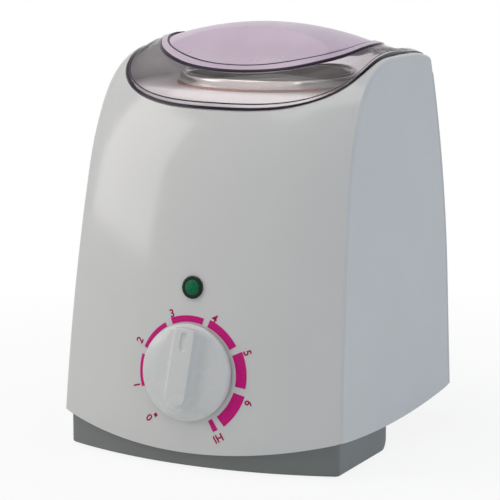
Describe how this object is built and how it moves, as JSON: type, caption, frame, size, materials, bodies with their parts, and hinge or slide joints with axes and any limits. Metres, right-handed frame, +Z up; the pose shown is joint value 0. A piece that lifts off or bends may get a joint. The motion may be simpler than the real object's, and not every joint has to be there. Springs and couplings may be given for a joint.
{
  "type": "wax warmer",
  "caption": "Table-top wax warmer: white plastic shell on a grey base, clear lift-off lid with a lilac handle, lift-out metal pot, front heat dial and pilot lamp.",
  "frame": {"origin": "middle of the bounding box, on the floor under the rubber feet", "axes": "+X to the right seen from the front, +Y to the back, +Z up"},
  "size_m": [0.152, 0.171, 0.208],
  "materials": {
    "white_gloss": "moulded, glossy white",
    "grey_plastic": "moulded, satin grey",
    "clear_plastic": "clear, polished",
    "lilac_plastic": "milky lilac, glossy",
    "bright_metal": "polished",
    "aluminium": "spun",
    "zinc_steel": "zinc plated",
    "brass": "plain",
    "copper": "plain copper",
    "black_rubber": "matte",
    "silicone": "red silicone, matte",
    "mineral_felt": "needled fibre",
    "phenolic": "moulded phenolic",
    "ivory_plastic": "moulded",
    "green_lens": "translucent green",
    "lamp_glass": "clear glass"
  },
  "bodies": {
    "housing": {"outer_shell": "white_gloss", "back_cover": "white_gloss", "deck_ring": "white_gloss", "base_tray": "grey_plastic", "rubber_feet": "black_rubber", "base_screws": "zinc_steel", "heating_chamber": "aluminium", "chamber_gasket": "silicone", "chamber_screws": "zinc_steel", "heater_band": "brass", "heater_clamp_screw": "zinc_steel", "insulation_sleeve": "mineral_felt", "thermostat_bracket": "zinc_steel", "bracket_screws": "zinc_steel", "thermostat_body": "phenolic", "thermostat_nut": "brass", "sensor_bulb": "copper", "capillary_tube": "copper", "sensor_clip": "zinc_steel", "thermal_fuse": "zinc_steel", "fuse_clip": "zinc_steel", "lamp_lens": "green_lens", "lamp_clip": "zinc_steel", "lamp_holder": "phenolic", "neon_bulb": "lamp_glass", "terminal_block": "ivory_plastic", "terminal_screws": "brass", "cord_gland": "black_rubber", "cord_clamp": "ivory_plastic", "cord_clamp_screws": "zinc_steel"},
    "dial": {"dial_knob": "white_gloss", "thermostat_spindle": "brass"},
    "pot": {"inner_pot": "bright_metal"},
    "lid": {"lid_cover": "clear_plastic", "lid_handle": "lilac_plastic"}
  },
  "joints": [
    {"name": "dial_turn", "type": "hinge", "parent": "housing", "child": "dial", "pos_m": [0, -0.07379, 0.0475], "axis": [0, -0.9938, 0.1109], "range_deg": [-143, 148]},
    {"name": "pot_lift", "type": "slide", "parent": "housing", "child": "pot", "axis": [0, 0, 1], "range_m": [0, 0.105]},
    {"name": "lid_lift", "type": "slide", "parent": "pot", "child": "lid", "axis": [0, 0, 1], "range_m": [0, 0.06]}
  ]
}
